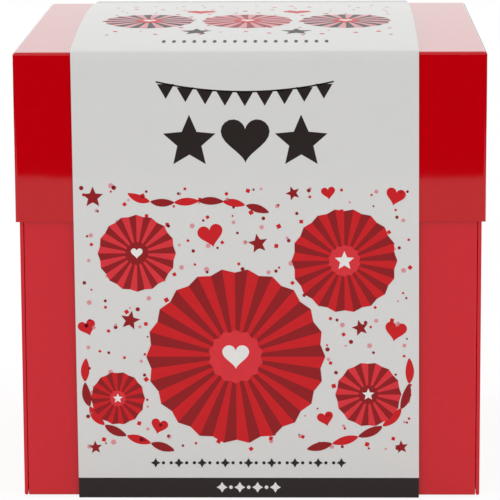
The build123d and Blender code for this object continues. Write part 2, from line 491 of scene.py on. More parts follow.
ROLLS = {
    "lid_shell": Roll(0.8, 0.12),
    "gift_lid": Roll(0.5, 0.15),
    "gift_box_body": Roll(0.5, 0.15),
    # a little wider, so that the gap beside the front and back walls is a hairline
    "front_wall": Roll(0.12, 0.12, wider_mm=0.04),
    "back_wall": Roll(0.12, 0.12, wider_mm=0.04),
    "left_wall": Roll(0.25, 0.25),
    "right_wall": Roll(0.25, 0.25),
}


@dataclass
class CardPieces:
    """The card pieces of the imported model, copied with their edges rolled and dressed."""

    sharp_deg: float = 35.0
    flat_deg: float = 1.0
    weld_mm: float = 0.002
    near_mm: float = 0.02
    bevel_steps: int = 3

    def rolled_copy(
        self, node: str, name: str, body: str, slot: str, material: Material
    ) -> Piece:
        """Copy a CAD node with rounded edges, and let the copy stand for it.

        Args:
            node: the CAD node.
            name: the new piece's name.
            body: the body it moves with.
            slot: the record's material slot.
            material: its finish.

        Returns:
            The new piece.
        """
        roll = ROLLS.get(node, Roll())
        low, high = corners(node)
        middle, half = (low + high) / 2, (high - low) / 2
        bm = bmesh.new()
        bm.from_mesh(bpy.data.objects[node].data)
        bmesh.ops.remove_doubles(bm, verts=bm.verts, dist=self.weld_mm * MM)
        flat = math.radians(self.flat_deg)
        bmesh.ops.dissolve_limit(bm, angle_limit=flat, verts=bm.verts, edges=bm.edges)
        share = bm.edges.layers.float.new("bevel_weight_edge")
        for edge in bm.edges:
            if edge.is_manifold and edge.calc_face_angle() > math.radians(self.sharp_deg):
                place = (edge.verts[0].co + edge.verts[1].co) / 2 - middle
                out = [abs(abs(place[n]) - half[n]) < self.near_mm * MM for n in range(3)]
                # an edge between two outer sides is a fold, except round the open rim
                fold = sum(out) >= 2 and not (place.z < 0 and out[2])
                edge[share] = 1.0 if fold else roll.cut_mm / roll.fold_mm
        if roll.wider_mm:
            for vert in bm.verts:
                vert.co.x += math.copysign(roll.wider_mm * MM, vert.co.x - middle.x)
        piece = new_object(name, bm, material)
        piece.data.shade_smooth()
        bevel = piece.modifiers.new("rolled_edge", "BEVEL")
        bevel.width = roll.fold_mm * MM
        bevel.segments = self.bevel_steps
        bevel.limit_method = "WEIGHT"
        # the broad faces keep their own normals, so that their reflections stay flat
        piece.modifiers.new("flat_faces", "WEIGHTED_NORMAL").weight = 100
        return stand_for(settle(piece), node, body, slot)


# Ribbons


@dataclass(frozen=True)
class Ribbon:
    """A length of woven ribbon: crowned a little, with a thicker selvedge at each edge."""

    width: float
    thickness: float = 0.22 * MM
    crown: float = 0.08 * MM
    columns: int = 10
    selvedge: float = 1.3
    selvedge_from: float = 0.95
    gathers: int = 3

    def lay(
        self,
        bm: BMesh,
        path: Sequence[Vector],
        across: Sequence[Vector],
        spread: Callable[[float], float] = lambda t: 1.0,
        gather: Callable[[float], float] = lambda t: 0.0,
        notch: float = 0.0,
    ) -> None:
        """Lay the ribbon along a path.

        Args:
            bm: the mesh it goes into.
            path: the points of its middle line.
            across: the direction of its width at each point.
            spread: its width as a share of the full one, by share of the way along.
            gather: the height of its gathers, in metres, by share of the way along.
            notch: how deep its far end is cut in, in metres.
        """
        rows = []
        last = len(path) - 1
        for n, point in enumerate(path):
            t = n / last
            along = (path[min(n + 1, last)] - path[max(n - 1, 0)]).normalized()
            side = across[n].normalized()
            out = side.cross(along).normalized()
            upper, lower = [], []
            for c in range(self.columns + 1):
                s = 2 * c / self.columns - 1
                rise = self.crown * (1 - s * s) + gather(t) * math.cos(self.gathers * math.pi * s)
                place = point + side * (s * self.width * spread(t) / 2) + out * rise
                if n == last and notch:
                    place -= along * notch * (1 - abs(s))
                thicker = self.selvedge if abs(s) > self.selvedge_from else 1.0
                half = self.thickness / 2 * thicker
                upper.append(bm.verts.new(place + out * half))
                lower.append(bm.verts.new(place - out * half))
            rows.append(upper + lower[::-1])
        bridge(bm, *rows)
        for row in (rows[0], rows[-1]):
            for k in range(self.columns):
                quad = (row[k], row[k + 1], row[-2 - k], row[-1 - k])
                bm.faces.new(quad if row is rows[-1] else quad[::-1])


@dataclass
class GiftRibbons:
    """The small gift box's ribbons and its bow, in satin."""

    satin: Material
    band: Ribbon = Ribbon(10 * MM, crown=0.02 * MM)
    bow: Ribbon = Ribbon(9 * MM, columns=24)
    knot_band: Ribbon = Ribbon(9.6 * MM, crown=0.5 * MM, columns=40)
    smooth_deg: float = 50.0
    side_inset: float = 0.125 * MM
    lid_inset: float = 0.11 * MM
    lid_fold: float = 0.5 * MM
    crossing: float = 0.24 * MM
    tail_start: float = 2.5 * MM
    tail_reach: float = 26.7 * MM
    tail_notch: float = 4 * MM
    tail_gather: float = 0.35 * MM
    loop_start: float = 5.5 * MM
    loop_reach: float = 11.0 * MM
    loop_swell: float = 5.7 * MM
    loop_lift: float = 0.3 * MM
    loop_tilt_deg: float = 20.0
    loop_gather: float = 0.45 * MM
    gathered_at: float = 2.6 * MM
    tucked: Point2 = (3.4 * MM, 2.6 * MM)
    knot_depth: float = 4.2 * MM
    knot_pleat: float = 0.14 * MM
    core: Point2 = (4.5 * MM, 3.6 * MM)
    core_under: float = 1.4 * MM
    creases: int = 5
    crease_depth: float = 0.12

    def closed(self, name: str, bm: BMesh, node: str, body: str) -> Piece:
        """Finish a ribbon piece.

        Args:
            name: the piece's name.
            bm: its mesh.
            node: the CAD node that it stands for.
            body: the body that it moves with.

        Returns:
            The piece.
        """
        bmesh.ops.recalc_face_normals(bm, faces=bm.faces)
        piece = new_object(name, bm, self.satin, self.smooth_deg)
        return stand_for(piece, node, body, "satin_ribbon")

    def side_ribbons(self) -> Piece:
        """Lay the four ribbons up the gift box's sides.

        Returns:
            The ribbons, as one piece.
        """
        low, high = corners("gift_side_ribbons")
        steps = 24
        bm = bmesh.new()
        for n in range(4):
            out = compass(90 * n)
            foot = out * (high.x - self.side_inset) + UP * low.z
            path = [foot + UP * ((high.z - low.z) * k / steps) for k in range(steps + 1)]
            self.band.lay(bm, path, [UP.cross(out)] * len(path))
        return self.closed("gift_side_ribbon_piece", bm, "gift_side_ribbons", "base")

    def lid_cross(self) -> Piece:
        """Lay the two ribbons that cross on the gift lid and go down its skirt.

        Returns:
            The ribbons, as one piece.
        """
        low, high = corners("gift_lid_ribbon")
        reach, top, fold = high.x - self.lid_inset, high.z - self.lid_inset, self.lid_fold
        bm = bmesh.new()
        for n, raised in ((0, 0.0), (1, self.crossing)):
            out = compass(90 * n)
            # from the middle: over the other ribbon, along the top, round the fold and down
            half_path = [(0.0, top + raised), (4 * MM, top + raised), (6 * MM, top + raised * 0.6)]
            half_path += [(r * MM, top) for r in (8, 14, 24)]
            for k in range(7):
                a = math.pi / 2 * (1 - k / 6)
                r, z = reach - fold + fold * math.cos(a), top - fold + fold * math.sin(a)
                half_path.append((r, z))
            half_path += [(reach, z) for z in (top - 6 * MM, top - 13 * MM, low.z + 0.2 * MM)]
            line = [(-r, z) for r, z in half_path[:0:-1]] + half_path
            path = [out * r + UP * z for r, z in line]
            self.band.lay(bm, path, [UP.cross(out)] * len(path))
        return self.closed("gift_lid_ribbon_piece", bm, "gift_lid_ribbon", "gift_top")

    def tails(self) -> Piece:
        """Lay the bow's two notched tails.

        Returns:
            The tails, as one piece.
        """
        floor = corners("bow_tails")[0].z
        steps = 32
        clear, hump, swell, curl, drift = (n * MM for n in (0.3, 0.3, 0.5, 1.5, 1.1))
        bm = bmesh.new()
        for degrees, sway in ((-60, 1), (-120, -1)):
            out = compass(degrees)
            side = UP.cross(out)
            path, across = [], []
            for k in range(steps + 1):
                t = k / steps
                # over the lid's ribbon, low under the loops, and curling up at its end
                lift = clear + hump * max(0.0, 1 - 3.2 * t)
                lift += swell * math.sin(math.pi * min(1.0, 1.25 * t)) ** 2
                lift += curl * max(0.0, (t - 0.6) / 0.4) ** 2
                place = out * (self.tail_start + self.tail_reach * t)
                place += side * (sway * drift * math.sin(2.6 * t) * t)
                path.append(place + UP * (floor + lift))
                across.append(side + UP * (0.05 * sway * math.sin(4.2 * t)))
            self.bow.lay(
                bm,
                path,
                across,
                spread=lambda t: 0.5 + 0.5 * min(1.0, 3 * t),
                gather=lambda t: self.tail_gather * max(0.0, 1 - 3.2 * t),
                notch=self.tail_notch,
            )
        return self.closed("bow_tail_piece", bm, "bow_tails", "gift_top")

    def loops(self) -> Piece:
        """Lay the bow's four loops, full at the end and gathered at the knot.

        Returns:
            The loops, as one piece.
        """
        low, high = corners("bow_loops")
        middle = (low.z + high.z) / 2 + self.loop_lift
        reach, swell, tilt = self.loop_reach, self.loop_swell, math.radians(self.loop_tilt_deg)
        start = self.loop_start + math.hypot(reach * math.cos(tilt), swell * math.sin(tilt))
        steps = 44
        bm = bmesh.new()
        for n in range(4):
            out = compass(45 + 90 * n)
            under, over = (out * self.gathered_at + UP * (middle - z) for z in self.tucked)
            path = [under]
            for k in range(steps + 1):
                t = k / steps
                x = -reach * math.cos(2 * math.pi * t)
                y = -swell * math.sin(2 * math.pi * t) * math.sin(math.pi * t) ** 0.35
                place = out * (start + x * math.cos(tilt) - y * math.sin(tilt))
                path.append(place + UP * (middle + x * math.sin(tilt) + y * math.cos(tilt)))
            path.append(over)
            self.bow.lay(
                bm,
                path,
                [UP.cross(out)] * len(path),
                spread=lambda t: 0.42 + 0.58 * math.sin(math.pi * t) ** 0.6,
                gather=lambda t: self.loop_gather * (1 - math.sin(math.pi * t)) ** 2,
            )
        return self.closed("bow_loop_piece", bm, "bow_loops", "gift_top")

    def knot(self) -> Piece:
        """Wrap the bow's knot: a pleated band, front to back, round the gathered middle.

        Returns:
            The knot.
        """
        low, high = corners("bow_knot")
        middle, tall = (low.z + high.z) / 2, (high.z - low.z) / 2
        band_tall = tall - self.knot_band.crown - self.knot_pleat - 0.2 * MM
        steps = 60
        bm = bmesh.new()
        path = []
        for k in range(steps + 1):
            a = 2 * math.pi * k / steps
            y = self.knot_depth * math.copysign(abs(math.sin(a)) ** 0.85, math.sin(a))
            path.append(Vector((0.0, y, middle - band_tall * math.cos(a))))
        self.knot_band.lay(
            bm,
            path,
            [Vector((-1, 0, 0))] * len(path),
            spread=lambda t: 0.82 + 0.18 * abs(math.cos(2 * math.pi * t)) ** 2,
            gather=lambda t: self.knot_pleat,
        )
        # the gathered ribbon inside the band, seen at its two open ends
        core = bmesh.ops.create_uvsphere(bm, u_segments=48, v_segments=24, radius=1.0)
        for vert in core["verts"]:
            turn = math.atan2(vert.co.z, vert.co.y)
            crease = 1 - self.crease_depth * abs(math.sin(self.creases * turn))
            vert.co.x *= self.core[0]
            vert.co.y *= self.core[1] * crease
            vert.co.z *= (tall - self.core_under) * crease
            vert.co.z += middle
        return self.closed("bow_knot_piece", bm, "bow_knot", "gift_top")

    def build(self) -> list[Piece]:
        """Make every ribbon of the gift box."""
        return [
            self.side_ribbons(), self.lid_cross(), self.tails(), self.loops(), self.knot()
        ]


@dataclass
class TieRibbons:
    """The two ribbons that tie the walls up again, each folded to and fro on its wall's mat."""

    satin: Material
    layers: int = 6
    thickness: float = 0.13 * MM
    margin: float = 0.05 * MM
    run_steps: int = 12
    turn_steps: int = 6
    smooth_deg: float = 50.0
    askew_mm: tuple[float, ...] = (0.9, 0.2, 1.5, 0.6, 1.9, 0.1, 2.6)
    drift_mm: tuple[float, ...] = (-0.5, 0.6, -0.7, 0.4, -0.4, 0.8, -0.6)

    def folded_path(self, low: Vector, high: Vector) -> list[Vector]:
        """The ribbon's middle line, folded to and fro inside a box.

        Args:
            low: the box's lowest corner.
            high: its highest corner.

        Returns:
            The line's points.
        """
        pitch = (high.x - low.x - self.thickness - 2 * self.margin) / (self.layers - 1)
        turn = pitch / 2
        reach = (high.y - low.y) / 2 - turn - self.thickness
        ends = [reach - askew * MM for askew in self.askew_mm]
        heights = [(low.z + high.z) / 2 + drift * MM for drift in self.drift_mm]
        path = []
        for n in range(self.layers):
            x = low.x + self.thickness / 2 + self.margin + pitch * n
            way = 1 if n % 2 == 0 else -1
            for k in range(self.run_steps + 1):
                t = k / self.run_steps
                y = -ends[n] + (ends[n] + ends[n + 1]) * t
                path.append(Vector((x, way * y, heights[n] * (1 - t) + heights[n + 1] * t)))
            for k in range(1, self.turn_steps) if n < self.layers - 1 else ():
                a = math.pi * k / self.turn_steps
                dx, dy = turn * (1 - math.cos(a)), turn * math.sin(a)
                path.append(Vector((x + dx, way * (ends[n + 1] + dy), heights[n + 1])))
        return path

    def build(self) -> list[Piece]:
        """Fold both ribbons, each standing for its wall's tie ribbon.

        Returns:
            The two pieces.
        """
        pieces = []
        for side in ("left", "right"):
            low, high = corners(f"{side}_tie_ribbon")
            path = self.folded_path(low, high)
            bm = bmesh.new()
            ribbon = Ribbon(high.z - low.z, thickness=self.thickness, crown=0.0, columns=6)
            ribbon.lay(bm, path, [UP] * len(path))
            bmesh.ops.recalc_face_normals(bm, faces=bm.faces)
            piece = new_object(f"{side}_tie_folded", bm, self.satin, self.smooth_deg)
            stand_for(piece, f"{side}_tie_ribbon", f"{side}_side", "satin_ribbon")
            pieces.append(piece)
        return pieces


# Insert cards


@dataclass
class InsertPile:
    """A loose pile of like insert cards, stacked by Geometry Nodes."""

    node: str
    seed: int
    outline: Callable[[float], list[Point2]]
    count: int = 6
    card_mm: float = 0.4
    step_mm: float = 0.45
    shift_mm: float = 0.35
    turn_deg: float = 1.6
    margin_mm: float = 0.8
    rounding_mm: float = 0.06
    smooth_deg: float = 30.0

    def tree(self, material: Material) -> Tree:
        """Build the tree: a column of points, with the card set on each, a little askew.

        Args:
            material: the cards' finish.

        Returns:
            The tree.
        """
        tree, given = open_group(f"{self.node}_pile", "Card", "Step", "Shift", "Turn")
        step = add_node(tree, "ShaderNodeCombineXYZ", {2: given["Step"]})
        points = add_node(tree, "GeometryNodeMeshLine", {"Count": self.count, "Offset": step})
        askew = []
        # a random shift in the level, and then a random turn about the upright
        for n, (size, far) in enumerate((("Shift", (1, 1, 0)), ("Turn", (0, 0, 1)))):
            ends = {0: [-c for c in far], 1: far, "Seed": self.seed + n}
            away = add_node(tree, "FunctionNodeRandomValue", ends, data_type="FLOAT_VECTOR")
            scaled = {0: away, "Scale": given[size]}
            askew.append(add_node(tree, "ShaderNodeVectorMath", scaled, operation="SCALE"))
        shift, turn = askew
        moved = add_node(tree, "GeometryNodeSetPosition", {"Geometry": points, "Offset": shift})
        placed = {"Points": moved, "Instance": given["Card"], "Rotation": turn}
        return close_group(tree, placed, material)

    def build(self, material: Material, slot: str) -> Piece:
        """Cut one card, pile it up and set the pile in the drawer.

        Args:
            material: the cards' finish.
            slot: the record's material slot.

        Returns:
            The pile.
        """
        low, high = corners(self.node)
        outline = self.outline((high.x - low.x) / MM - self.margin_mm)
        inset, top = self.rounding_mm * MM, self.card_mm * MM
        bm = bmesh.new()
        rings = []
        for z, less in ((0.0, inset), (inset, 0.0), (top - inset, 0.0), (top, inset)):
            flats = [Vector(point) * MM for point in outline]
            flats = [flat - flat.normalized() * less for flat in flats]
            rings.append([bm.verts.new((flat.x, flat.y, z)) for flat in flats])
        bridge(bm, *rings)
        bm.faces.new(rings[0][::-1])
        bm.faces.new(rings[-1])
        piece = new_object(f"{self.node}_pile", bm)
        sizes = {"Step": self.step_mm * MM, "Shift": self.shift_mm * MM}
        grow(piece, self.tree(material), sizes | {"Turn": math.radians(self.turn_deg)})
        middle = (low + high) / 2
        piece.data.transform(Matrix.Translation((middle.x, middle.y, low.z)))
        piece.data.shade_smooth()
        piece.data.set_sharp_from_angle(angle=math.radians(self.smooth_deg))
        return stand_for(piece, self.node, "drawer", slot)


# Studio


@dataclass(frozen=True)
class Viewpoint:
    """The photograph's camera, fitted to the lid's corners, its rim and the box's foot."""

    place_mm: Point3 = (16.3, -832.9, 208.6)
    yaw_deg: float = -1.216
    pitch_deg: float = 10.505
    roll_deg: float = -0.278
    focal_px: float = 3079.5
    image_px: float = 500.0
    sensor_mm: float = 36.0

    def build(self) -> None:
        """Make the camera and set it as the scene's own."""
        yaw, pitch, roll = map(math.radians, (self.yaw_deg, self.pitch_deg, self.roll_deg))
        level = Vector((math.cos(yaw), -math.sin(yaw), 0))
        ahead = Vector((math.sin(yaw), math.cos(yaw), 0)) * math.cos(pitch)
        ahead -= UP * math.sin(pitch)
        upright = level.cross(ahead)
        right = level * math.cos(roll) + upright * math.sin(roll)
        up = upright * math.cos(roll) - level * math.sin(roll)
        lens = bpy.data.cameras.new("photo_camera")
        lens.sensor_width = self.sensor_mm
        lens.lens = self.focal_px / self.image_px * self.sensor_mm
        lens.clip_start = 0.01
        lens.clip_end = 20
        camera = bpy.data.objects.new("photo_camera", lens)
        turn = Matrix((right, up, -ahead)).transposed().to_4x4()
        camera.matrix_world = Matrix.Translation(Vector(self.place_mm) * MM) @ turn
        bpy.context.scene.collection.objects.link(camera)
        bpy.context.scene.camera = camera


@dataclass
class Studio:
    """A white table in a white room, two soft lamps, and a dark card that only mirrors show."""

    table_half_m: float = 4.0
    card_inner_m: float = 0.58
    card_outer_m: float = 3.6
    card_lift_mm: float = 0.6
    sky: float = 0.756
    glow: float = 1.05
    clean: float = 0.84
    aim: Point3 = (0, 0, 0.06)
    top_place: Point3 = (0.05, 0.15, 1.1)
    top_side: float = 0.9
    top_watts: float = 1.2
    front_place: Point3 = (-0.5, -1.3, 0.9)
    front_side: float = 0.6
    front_watts: float = 1.5

    def followed(self, tree: Tree) -> Node:
        """Tell the rays that the eye follows from those that only light.

        Args:
            tree: the tree of the world or of a material.

        Returns:
            A node that gives 1 for rays straight, mirrored or through glass, and 0 for light.
        """
        path = add_node(tree, "ShaderNodeLightPath").outputs
        seen = path["Is Camera Ray"]
        for kind in ("Is Glossy Ray", "Is Transmission Ray"):
            seen = add_node(tree, "ShaderNodeMath", {0: seen, 1: path[kind]}, operation="MAXIMUM")
        return seen

    def world(self) -> None:
        """Make the room white to the eye and in reflections, and softer as a light."""
        world = bpy.data.worlds.new("white_room")
        world.use_nodes = True
        tree = world.node_tree
        tree.nodes.clear()
        reach = {"Value": self.followed(tree), "To Min": self.sky, "To Max": 1.0}
        strength = add_node(tree, "ShaderNodeMapRange", reach)
        white = {"Color": (1, 1, 1, 1), "Strength": strength}
        light = add_node(tree, "ShaderNodeBackground", white)
        add_node(tree, "ShaderNodeOutputWorld", {"Surface": light})
        bpy.context.scene.world = world

    def table(self) -> None:
        """Make the white table top, which keeps a faint shadow."""
        # a smooth white board: even and dull, and so bright that only a shadow shows on it
        material, tree = blank_material("white_table")
        lit = add_node(tree, "ShaderNodeBsdfDiffuse", {"Color": linear("#F4F4F3")})
        glow = add_node(
            tree, "ShaderNodeEmission", {"Color": (1, 1, 1, 1), "Strength": self.glow}
        )
        share = {0: self.followed(tree), 1: self.clean}
        share = add_node(tree, "ShaderNodeMath", share, operation="MULTIPLY")
        both = add_node(tree, "ShaderNodeMixShader", {0: share, 1: lit, 2: glow})
        add_node(tree, "ShaderNodeOutputMaterial", {"Surface": both})
        bm = bmesh.new()
        bmesh.ops.create_grid(bm, x_segments=1, y_segments=1, size=self.table_half_m)
        new_object("table_top", bm, material)

    def reflection_card(self) -> None:
        """Lay a dark frame of card far round the box, which only mirrors show.

        It ends the table's mirror image in the laminate, as the real table's edge does.
        """
        # a painted reflection: a dark, dull card with no light of its own, seen only in reflections
        material, tree = blank_material("painted_reflection_card")
        dull = add_node(tree, "ShaderNodeBsdfDiffuse", {"Color": linear("#0A0A0A")})
        add_node(tree, "ShaderNodeOutputMaterial", {"Surface": dull})
        bm = bmesh.new()
        rings = []
        for half in (self.card_outer_m, self.card_inner_m):
            square = ((-half, -half), (half, -half), (half, half), (-half, half))
            rings.append([bm.verts.new((x, y, self.card_lift_mm * MM)) for x, y in square])
        bridge(bm, *rings)
        card = new_object("painted_reflection_card", bm, material)
        # hidden from the eye, from light and from shadows: it only paints a dark reflection into
        # the laminate
        card.visible_camera = card.visible_diffuse = card.visible_shadow = False

    def lamp(self, name: str, place: Point3, size: float, watts: float) -> None:
        """Hang one square soft light that faces the box.

        Args:
            name: the lamp's name.
            place: where it hangs, in metres.
            size: its side, in metres.
            watts: its power.
        """
        light = bpy.data.lights.new(name, "AREA")
        light.size = size
        light.energy = watts
        lamp = bpy.data.objects.new(name, light)
        lamp.location = place
        lamp.rotation_mode = "QUATERNION"
        lamp.rotation_quaternion = (Vector(self.aim) - Vector(place)).to_track_quat("-Z", "Y")
        bpy.context.scene.collection.objects.link(lamp)

    def build(self) -> None:
        """Set up the room, its lights and the colour management."""
        self.world()
        self.table()
        self.reflection_card()
        self.lamp("top_softbox", self.top_place, self.top_side, self.top_watts)
        self.lamp("front_fill", self.front_place, self.front_side, self.front_watts)
        bpy.context.scene.view_settings.view_transform = "Standard"


# Flat outlines, anticlockwise


def rounded_square(side: float, corner: float, steps: int = 6) -> list[Point2]:
    """The outline of a square with rounded corners.

    Args:
        side: its side.
        corner: the radius of its corners.
        steps: the straight pieces that make a corner.

    Returns:
        The outline.
    """
    outline = []
    inner = side / 2 - corner
    for n, (x, y) in enumerate(((1, 1), (-1, 1), (-1, -1), (1, -1))):
        for k in range(steps + 1):
            a = math.pi / 2 * (n + k / steps)
            outline.append((x * inner + corner * math.cos(a), y * inner + corner * math.sin(a)))
    return outline


def star(points: int, reach: float, waist: float = 0.45) -> list[Point2]:
    """The outline of a star with a point upwards.

    Args:
        points: how many points it has.
        reach: the radius to a point.
        waist: the inner radius, as a share of reach.

    Returns:
        The outline.
    """
    outline = []
    for n in range(2 * points):
        a = math.pi / 2 + math.pi * n / points
        r = reach if n % 2 == 0 else reach * waist
        outline.append((r * math.cos(a), r * math.sin(a)))
    return outline


def heart(size: float, steps: int = 36) -> list[Point2]:
    """The outline of a heart.

    Args:
        size: its width.
        steps: how many points it has.

    Returns:
        The outline.
    """
    outline = []
    for n in range(steps):
        t = 2 * math.pi * n / steps
        x = 16 * math.sin(t) ** 3
        y = 13 * math.cos(t) - 5 * math.cos(2 * t) - 2 * math.cos(3 * t) - math.cos(4 * t)
        outline.append((-x * size / 32, (y + 2) * size / 32))
    return outline


def oval(width: float, height: float, steps: int) -> list[Point2]:
    """The outline of an oval with this many points."""
    turns = [2 * math.pi * n / steps for n in range(steps)]
    return [(width / 2 * math.cos(t), height / 2 * math.sin(t)) for t in turns]


def band(spine: Sequence[Point2], width: Callable[[float], float]) -> list[Point2]:
    """The outline of a strip along a smooth line that runs to the right.

    Args:
        spine: the line's points.
        width: the strip's width at a share of the way along.

    Returns:
        The outline.
    """
    low, high = [], []
    last = len(spine) - 1
    for n, (x, y) in enumerate(spine):
        ahead, behind = spine[min(n + 1, last)], spine[max(n - 1, 0)]
        along = Vector((ahead[0] - behind[0], ahead[1] - behind[1])).normalized()
        half = width(n / last) / 2
        low.append((x + along.y * half, y - along.x * half))
        high.append((x - along.y * half, y + along.x * half))
    return low + high[::-1]


def bezier(ends: Sequence[Point2], steps: int) -> list[Point2]:
    """Points along a cubic curve.

    Args:
        ends: its start, its two handles and its end.
        steps: how many straight pieces stand for it.

    Returns:
        The points.
    """
    line = []
    for n in range(steps + 1):
        t = n / steps
        k = ((1 - t) ** 3, 3 * t * (1 - t) ** 2, 3 * t * t * (1 - t), t**3)
        line.append(tuple(sum(w * p[i] for w, p in zip(k, ends, strict=True)) for i in (0, 1)))
    return line


def shifted(outline: Sequence[Point2], by: Point2, turn_deg: float = 0.0) -> list[Point2]:
    """An outline turned about its origin and then moved."""
    c, s = math.cos(math.radians(turn_deg)), math.sin(math.radians(turn_deg))
    return [(by[0] + x * c - y * s, by[1] + x * s + y * c) for x, y in outline]


# Sleeve


class Panel(Enum):
    """The sleeve's printed panels."""

    FRONT = "front"
    TOP = "top"
    BACK = "back"


Shape = tuple[Panel, Sequence[Point2]]


class Ink(Enum):
    """The printed colours of the sleeve."""

    BLACK = "#221816"
    RED = "#D4101A"
    DEEP = "#960A13"
    BRIGHT = "#E3303A"
    ROSE = "#E39AA0"
    WHITE = "#F3F2EF"

    def material(self, name: str) -> Material:
        """The material of one printed piece in this ink."""
        return PrintInk(f"{name}_ink", self.value).material()


@dataclass
class SleeveForm:
    """Where the paper loop runs: up the front, bowed over the lid, down the back, underneath."""

    left: float
    right: float
    half_depth: float
    shoulder: float
    crown: float
    thickness: float = 0.35 * MM
    fold: float = 0.6 * MM
    skew: float = 0.6 * MM
    fold_steps: int = 5
    side_steps: int = 30
    top_steps: int = 48
    under_steps: int = 16

    def lean(self, z: float) -> float:
        """How far the loop has slipped to the side at a height: it sits a little askew."""
        return self.skew * (0.5 - z / self.crown)

    @property
    def middle(self) -> float:
        """The x of the sleeve's centre line."""
        return (self.left + self.right) / 2

    @property
    def arch_radius(self) -> float:
        """The radius of the top panel's bow."""
        rise = self.crown - self.shoulder
        return (self.half_depth**2 + rise**2) / (2 * rise)

    def arch(self, y: float) -> float:
        """The top panel's height at a depth y."""
        return self.crown - self.arch_radius + math.sqrt(self.arch_radius**2 - y**2)

    def spot(self, panel: Panel, u: float, v: float, lift: float) -> Vector:
        """A point on a printed panel.

        Args:
            panel: which panel.
            u: metres to the reader's right of the sleeve's middle.
            v: height on the front and back, measured round the foot's fold; depth on the top.
            lift: how far the point stands off the paper.

        Returns:
            The point in the frame's metres.
        """
        if panel is Panel.TOP:
            return Vector((self.middle + self.lean(self.arch(v)) + u, v, self.arch(v) + lift))
        bend = max(0.0, (self.fold - v) / self.fold)
        deep = self.half_depth - self.fold + (self.fold + lift) * math.cos(bend)
        high = v if bend == 0 else self.fold - (self.fold + lift) * math.sin(bend)
        middle = self.middle + self.lean(high)
        if panel is Panel.FRONT:
            return Vector((middle + u, -deep, high))
        return Vector((middle - u, deep, high))

    def loop(self) -> list[tuple[float, float, float, float]]:
        """The loop's outline, seen from its right.

        Returns:
            y, z and the outward normal at each point.
        """
        r, h, quarter = self.fold, self.half_depth, math.pi / 2
        top = self.shoulder - r
        slope = math.asin(h / self.arch_radius)
        folds = (
            (-h + r, r, 3 * quarter, -quarter),
            (-h + r, top, 2 * quarter, slope - quarter),
            (h - r, top, quarter - slope, slope - quarter),
            (h - r, r, 0.0, -quarter),
        )
        heights = [(top - r) * n / self.side_steps for n in range(1, self.side_steps)]
        across = [(2 * h - 2 * r) * n / self.top_steps for n in range(1, self.top_steps)]
        under = [(2 * h - 2 * r) * n / self.under_steps for n in range(1, self.under_steps)]
        over = []
        for y in across:
            lean = math.asin((y - h + r) / self.arch_radius)
            over.append((y - h + r, self.arch(y - h + r), math.sin(lean), math.cos(lean)))
        runs = (
            [(-h, r + z, -1.0, 0.0) for z in heights],
            over,
            [(h, top - z, 1.0, 0.0) for z in heights],
            [(h - r - y, 0.0, 0.0, -1.0) for y in under],
        )
        points = []
        for (y, z, start, turn), run in zip(folds, runs, strict=True):
            for n in range(self.fold_steps + 1):
                a = start + turn * n / self.fold_steps
                points.append((y + r * math.cos(a), z + r * math.sin(a), math.cos(a), math.sin(a)))
            points += run
        return points


@dataclass
class Press:
    """The ink of one sleeve: closed layers on the paper, one for each colour and pass."""

    form: SleeveForm
    depth: float = 0.03 * MM
    curl_steps: int = 240
    curl_skip: int = 3
    curl_narrow: float = 0.14
    layers: dict[tuple[Ink, int], list[Shape]] = field(default_factory=dict)

    def add(self, panel: Panel, ink: Ink, outline: Sequence[Point2], order: int = 0) -> None:
        """Print one shape.

        Args:
            panel: the panel that it is on.
            ink: its colour.
            outline: its outline, in millimetres from the sleeve's middle line.
            order: its pass; a later one lies over an earlier one.
        """
        self.layers.setdefault((ink, order), []).append((panel, outline))

    def scatter(self, panel: Panel, ink: Ink, shapes: Sequence[tuple[float, ...]]) -> None:
        """Print single hearts or stars.

        Args:
            panel: the panel that they are on.
            ink: their colour: hearts are red, and stars any other.
            shapes: for each its x, y and size in millimetres, and its turn in degrees.
        """
        for x, y, size, turn in shapes:
            outline = heart(size) if ink is Ink.RED else star(5, size)
            self.add(panel, ink, shifted(outline, (x, y), turn))

    def streamer(self, ends: Sequence[Point2], width: float, turns: int = 6) -> None:
        """Print a curling streamer on the front, its two faces in two reds.

        Args:
            ends: the four points of its curve.
            width: its width, in millimetres.
            turns: how many half turns it makes.
        """
        line = bezier(ends, self.curl_steps)
        narrow = self.curl_narrow
        run = [0.0]
        for a, b in pairwise(line):
            run.append(run[-1] + math.dist(a, b))
        stops = [
            min(range(len(run)), key=lambda n: abs(run[n] - run[-1] * k / turns))
            for k in range(turns + 1)
        ]
        for part, (first, last) in enumerate(pairwise(stops)):
            shape = band(
                line[first : last + 1 : self.curl_skip],
                lambda t: width * (narrow + (1 - narrow) * math.sin(math.pi * t) ** 0.8),
            )
            self.add(Panel.FRONT, Ink.DEEP if part % 2 else Ink.RED, shape, part % 2)

    def run(self) -> list[Piece]:
        """Print every layer.

        Returns:
            One piece for each.
        """
        pieces = []
        for (ink, order), shapes in self.layers.items():
            bm = bmesh.new()
            for panel, outline in shapes:
                flat = [(x * MM, y * MM) for x, y in outline]
                upper, lower = (
                    [bm.verts.new(self.form.spot(panel, u, v, lift)) for u, v in flat]
                    for lift in (self.depth * (order + 1), 0)
                )
                flat = [Vector((u, v, 0)) for u, v in flat]
                for a, b, c in tessellate_polygon([flat]):
                    if (flat[b] - flat[a]).cross(flat[c] - flat[a]).z <= 0:
                        b, c = c, b
                    bm.faces.new((upper[a], upper[b], upper[c]))
                    bm.faces.new((lower[a], lower[c], lower[b]))
                bridge(bm, lower, upper)
            name = f"print_{ink.name.lower()}_{order}"
            pieces.append(new_object(name, bm, ink.material(name)))
        return pieces


